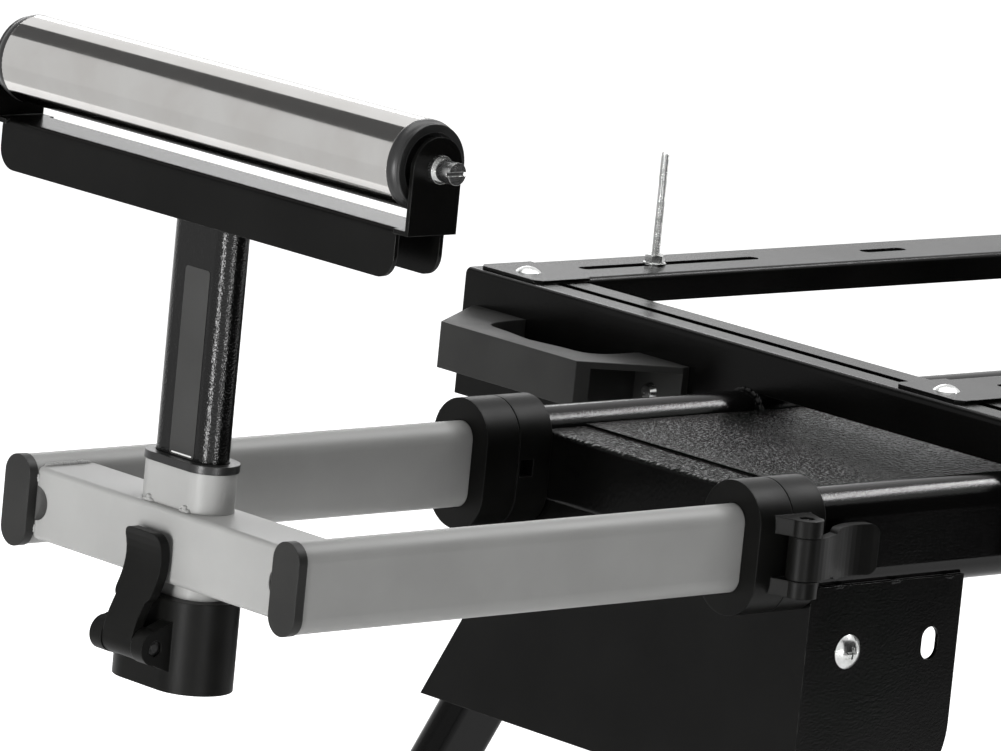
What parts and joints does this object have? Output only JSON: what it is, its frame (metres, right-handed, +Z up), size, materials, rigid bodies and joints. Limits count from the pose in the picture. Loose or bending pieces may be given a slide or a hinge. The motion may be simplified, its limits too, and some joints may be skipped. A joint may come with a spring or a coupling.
{
  "type": "folding miter saw stand",
  "caption": "Folding stand for a miter saw: flat-oval tube frame, bolt-on saw table, splayed folding legs and sliding arms that carry height-adjustable work rollers.",
  "frame": {"origin": "centre of the bounding box on the floor", "axes": "+X along the main tubes to the right end, +Y to the side where the table and the splayed legs reach out, +Z up"},
  "size_m": [1.782, 0.7272, 1.0378],
  "materials": {
    "black_paint": "textured matt",
    "table_paint": "semi-gloss",
    "grey_paint": "satin",
    "black_plastic": "matt",
    "foot_plastic": "matt",
    "chrome": "polished",
    "zinc": "bright zinc"
  },
  "bodies": {
    "frame": {"main_tubes": "black_paint", "cross_members": "black_paint", "left_leg_bracket": "black_paint", "right_leg_bracket": "black_paint", "left_end_plate": "table_paint", "right_end_plate": "table_paint", "carry_handles": "black_plastic", "frame_bolts": "zinc", "left_tube_clamps": "black_plastic", "right_tube_clamps": "black_plastic"},
    "back_rail_set": {"back_rail": "table_paint", "back_rail_bolts": "zinc"},
    "front_rail_set": {"front_rail": "table_paint", "front_rail_bolts": "zinc"},
    "back_left_saw_bolt_body": {"back_left_saw_bolt": "zinc"},
    "back_right_saw_bolt_body": {"back_right_saw_bolt": "zinc"},
    "front_left_saw_bolt_body": {"front_left_saw_bolt": "zinc"},
    "front_right_saw_bolt_body": {"front_right_saw_bolt": "zinc"},
    "left_arm": {"left_arm_tubes": "grey_paint", "left_cross_beam": "grey_paint", "left_post_sleeve": "grey_paint", "left_arm_plugs": "black_plastic", "left_post_collar": "black_plastic", "left_post_clamp": "black_plastic", "left_clamp_screw": "zinc"},
    "left_post_set": {"left_post": "black_paint", "left_roller_bracket": "black_paint", "left_roller_axle": "zinc"},
    "left_roller": {"left_roller_tube": "chrome", "left_roller_caps": "black_plastic"},
    "left_front_lever_body": {"left_front_lever": "black_plastic"},
    "left_front_leg_body": {"left_front_leg": "black_paint", "left_front_foot": "foot_plastic"},
    "left_front_button_body": {"left_front_button": "zinc"},
    "left_back_lever_body": {"left_back_lever": "black_plastic"},
    "left_back_leg_body": {"left_back_leg": "black_paint", "left_back_foot": "foot_plastic"},
    "left_back_button_body": {"left_back_button": "zinc"},
    "left_post_lever_body": {"left_post_lever": "black_plastic"},
    "right_arm": {"right_arm_tubes": "grey_paint", "right_cross_beam": "grey_paint", "right_post_sleeve": "grey_paint", "right_arm_plugs": "black_plastic", "right_post_collar": "black_plastic", "right_post_clamp": "black_plastic", "right_clamp_screw": "zinc"},
    "right_post_set": {"right_post": "black_paint", "right_roller_bracket": "black_paint", "right_roller_axle": "zinc"},
    "right_roller": {"right_roller_tube": "chrome", "right_roller_caps": "black_plastic"},
    "right_front_lever_body": {"right_front_lever": "black_plastic"},
    "right_front_leg_body": {"right_front_leg": "black_paint", "right_front_foot": "foot_plastic"},
    "right_front_button_body": {"right_front_button": "zinc"},
    "right_back_lever_body": {"right_back_lever": "black_plastic"},
    "right_back_leg_body": {"right_back_leg": "black_paint", "right_back_foot": "foot_plastic"},
    "right_back_button_body": {"right_back_button": "zinc"},
    "right_post_lever_body": {"right_post_lever": "black_plastic"}
  },
  "joints": [
    {"name": "back_rail_slide", "type": "slide", "parent": "frame", "child": "back_rail_set", "axis": [0, 1, 0], "range_m": [-0.1, 0]},
    {"name": "front_rail_slide", "type": "slide", "parent": "frame", "child": "front_rail_set", "axis": [0, 1, 0], "range_m": [-0.06, 0.1]},
    {"name": "back_left_saw_bolt_slide", "type": "slide", "parent": "back_rail_set", "child": "back_left_saw_bolt_body", "axis": [1, 0, 0], "range_m": [-0.055, 0.055]},
    {"name": "back_right_saw_bolt_slide", "type": "slide", "parent": "back_rail_set", "child": "back_right_saw_bolt_body", "axis": [1, 0, 0], "range_m": [-0.055, 0.055]},
    {"name": "front_left_saw_bolt_slide", "type": "slide", "parent": "front_rail_set", "child": "front_left_saw_bolt_body", "axis": [1, 0, 0], "range_m": [-0.055, 0.055]},
    {"name": "front_right_saw_bolt_slide", "type": "slide", "parent": "front_rail_set", "child": "front_right_saw_bolt_body", "axis": [1, 0, 0], "range_m": [-0.055, 0.055]},
    {"name": "left_arm_slide", "type": "slide", "parent": "frame", "child": "left_arm", "axis": [1, 0, 0], "range_m": [-0.165, 0.27]},
    {"name": "left_post_slide", "type": "slide", "parent": "left_arm", "child": "left_post_set", "axis": [0, 0, 1], "range_m": [-0.115, 0.005]},
    {"name": "left_roller_spin", "type": "hinge", "parent": "left_post_set", "child": "left_roller", "pos_m": [-0.8485, -0.17764, 1.0135], "axis": [0, 1, 0], "continuous": true},
    {"name": "left_front_lever_turn", "type": "hinge", "parent": "frame", "child": "left_front_lever_body", "pos_m": [-0.526, -0.32264, 0.78], "axis": [0, 0, -1], "range_deg": [0, 110]},
    {"name": "left_front_leg_fold", "type": "hinge", "parent": "frame", "child": "left_front_leg_body", "pos_m": [-0.465, -0.30464, 0.718], "axis": [0, -1, 0], "range_deg": [0, 90]},
    {"name": "left_front_button_press", "type": "slide", "parent": "left_front_leg_body", "child": "left_front_button_body", "axis": [0, -1, 0], "range_m": [0, 0.007]},
    {"name": "left_back_lever_turn", "type": "hinge", "parent": "frame", "child": "left_back_lever_body", "pos_m": [-0.526, -0.03264, 0.78], "axis": [0, 0, 1], "range_deg": [0, 110]},
    {"name": "left_back_leg_fold", "type": "hinge", "parent": "frame", "child": "left_back_leg_body", "pos_m": [-0.465, -0.04917, 0.718], "axis": [0, -0.866, -0.5], "range_deg": [0, 90]},
    {"name": "left_back_button_press", "type": "slide", "parent": "left_back_leg_body", "child": "left_back_button_body", "axis": [0, 0.866, 0.5], "range_m": [0, 0.007]},
    {"name": "left_post_lever_turn", "type": "hinge", "parent": "left_arm", "child": "left_post_lever_body", "pos_m": [-0.8815, -0.17764, 0.728], "axis": [0, -1, 0], "range_deg": [0, 110]},
    {"name": "right_arm_slide", "type": "slide", "parent": "frame", "child": "right_arm", "axis": [-1, 0, 0], "range_m": [-0.165, 0.27]},
    {"name": "right_post_slide", "type": "slide", "parent": "right_arm", "child": "right_post_set", "axis": [0, 0, 1], "range_m": [-0.115, 0.005]},
    {"name": "right_roller_spin", "type": "hinge", "parent": "right_post_set", "child": "right_roller", "pos_m": [0.8485, -0.17764, 1.0135], "axis": [0, 1, 0], "continuous": true},
    {"name": "right_front_lever_turn", "type": "hinge", "parent": "frame", "child": "right_front_lever_body", "pos_m": [0.526, -0.32264, 0.78], "axis": [0, 0, 1], "range_deg": [0, 110]},
    {"name": "right_front_leg_fold", "type": "hinge", "parent": "frame", "child": "right_front_leg_body", "pos_m": [0.465, -0.30464, 0.718], "axis": [0, 1, 0], "range_deg": [0, 90]},
    {"name": "right_front_button_press", "type": "slide", "parent": "right_front_leg_body", "child": "right_front_button_body", "axis": [0, -1, 0], "range_m": [0, 0.007]},
    {"name": "right_back_lever_turn", "type": "hinge", "parent": "frame", "child": "right_back_lever_body", "pos_m": [0.526, -0.03264, 0.78], "axis": [0, 0, -1], "range_deg": [0, 110]},
    {"name": "right_back_leg_fold", "type": "hinge", "parent": "frame", "child": "right_back_leg_body", "pos_m": [0.465, -0.04917, 0.718], "axis": [0, 0.866, 0.5], "range_deg": [0, 90]},
    {"name": "right_back_button_press", "type": "slide", "parent": "right_back_leg_body", "child": "right_back_button_body", "axis": [0, 0.866, 0.5], "range_m": [0, 0.007]},
    {"name": "right_post_lever_turn", "type": "hinge", "parent": "right_arm", "child": "right_post_lever_body", "pos_m": [0.8815, -0.17764, 0.728], "axis": [0, 1, 0], "range_deg": [0, 110]}
  ]
}
